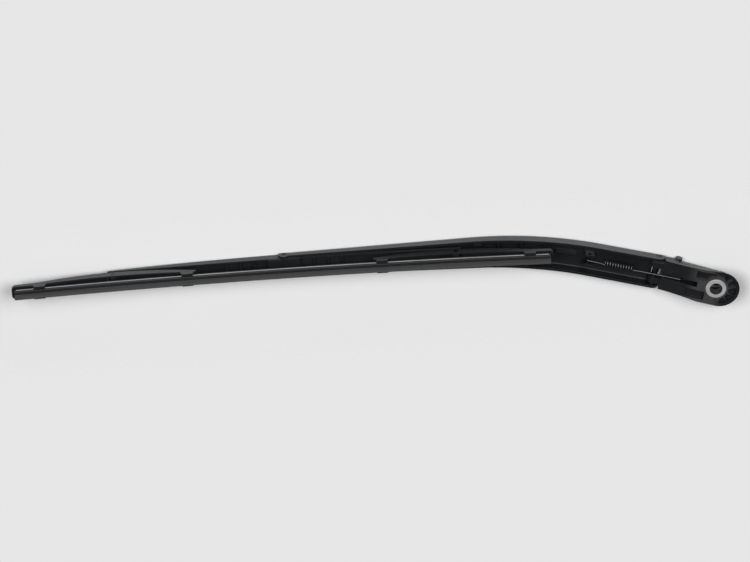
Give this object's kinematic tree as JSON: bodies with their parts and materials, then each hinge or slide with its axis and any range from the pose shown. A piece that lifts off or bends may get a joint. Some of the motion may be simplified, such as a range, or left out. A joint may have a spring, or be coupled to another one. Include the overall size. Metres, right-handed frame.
{
  "type": "wiper arm",
  "caption": "Bent black wiper arm with a hinged, sprung head, a metal spindle bore and a bridged rubber wiper blade that pivots on its tip.",
  "frame": {"origin": "middle of the spindle bore's mouth, on the metal ring's face", "axes": "+Z out of the bore's mouth towards the glass, X along the blade with the blade at -X"},
  "size_m": [0.544, 0.0666, 0.0299],
  "materials": {
    "arm_plastic": "satin black moulded plastic",
    "yoke_plastic": "satin black moulded plastic",
    "bush_metal": "turned bright metal",
    "pin_steel": "plain steel",
    "spring_steel": "dark spring steel",
    "flexor_steel": "bright strip steel",
    "blade_rubber": "dull black rubber"
  },
  "bodies": {
    "head": {"arm_head": "arm_plastic", "spindle_bush": "bush_metal", "hook_pin": "pin_steel"},
    "cover": {"nut_cover": "arm_plastic"},
    "arm": {"arm_channel": "arm_plastic", "hinge_pin": "pin_steel", "anchor_pin": "pin_steel", "tension_spring": "spring_steel", "pivot_pin": "pin_steel"},
    "blade": {"primary_yoke": "yoke_plastic", "wiper_rubber": "blade_rubber", "near_flexor": "flexor_steel", "far_flexor": "flexor_steel"},
    "outer_bridge": {"outer_yoke": "yoke_plastic", "outer_yoke_pin": "pin_steel"},
    "inner_bridge": {"inner_yoke": "yoke_plastic", "inner_yoke_pin": "pin_steel"}
  },
  "joints": [
    {"name": "cover_hinge", "type": "hinge", "parent": "head", "child": "cover", "pos_m": [-0.02972, 0.0088, -0.0135], "axis": [0.284, 0.9588, 0], "range_deg": [0, 60]},
    {"name": "arm_hinge", "type": "hinge", "parent": "head", "child": "arm", "pos_m": [-0.04458, 0.01321, -0.0115], "axis": [-0.284, -0.9588, 0], "range_deg": [0, 65], "stiffness_Nm_per_rad": 0.2, "springref_deg": -34.38, "deforming": ["tension_spring"]},
    {"name": "blade_pivot", "type": "hinge", "parent": "arm", "child": "blade", "pos_m": [-0.3215, 0.0397, -0.012], "axis": [0, -1, 0], "range_deg": [-0.8, 45]},
    {"name": "outer_yoke_pivot", "type": "hinge", "parent": "blade", "child": "outer_bridge", "pos_m": [-0.45025, 0.0397, -0.00542], "axis": [0, -1, 0], "range_deg": [-2.5, 2.5], "stiffness_Nm_per_rad": 0.4, "deforming": ["wiper_rubber", "near_flexor", "far_flexor"]},
    {"name": "inner_yoke_pivot", "type": "hinge", "parent": "blade", "child": "inner_bridge", "pos_m": [-0.19275, 0.0397, -0.00542], "axis": [0, -1, 0], "range_deg": [-2.5, 2.5], "stiffness_Nm_per_rad": 0.4, "deforming": ["wiper_rubber", "near_flexor", "far_flexor"]}
  ]
}
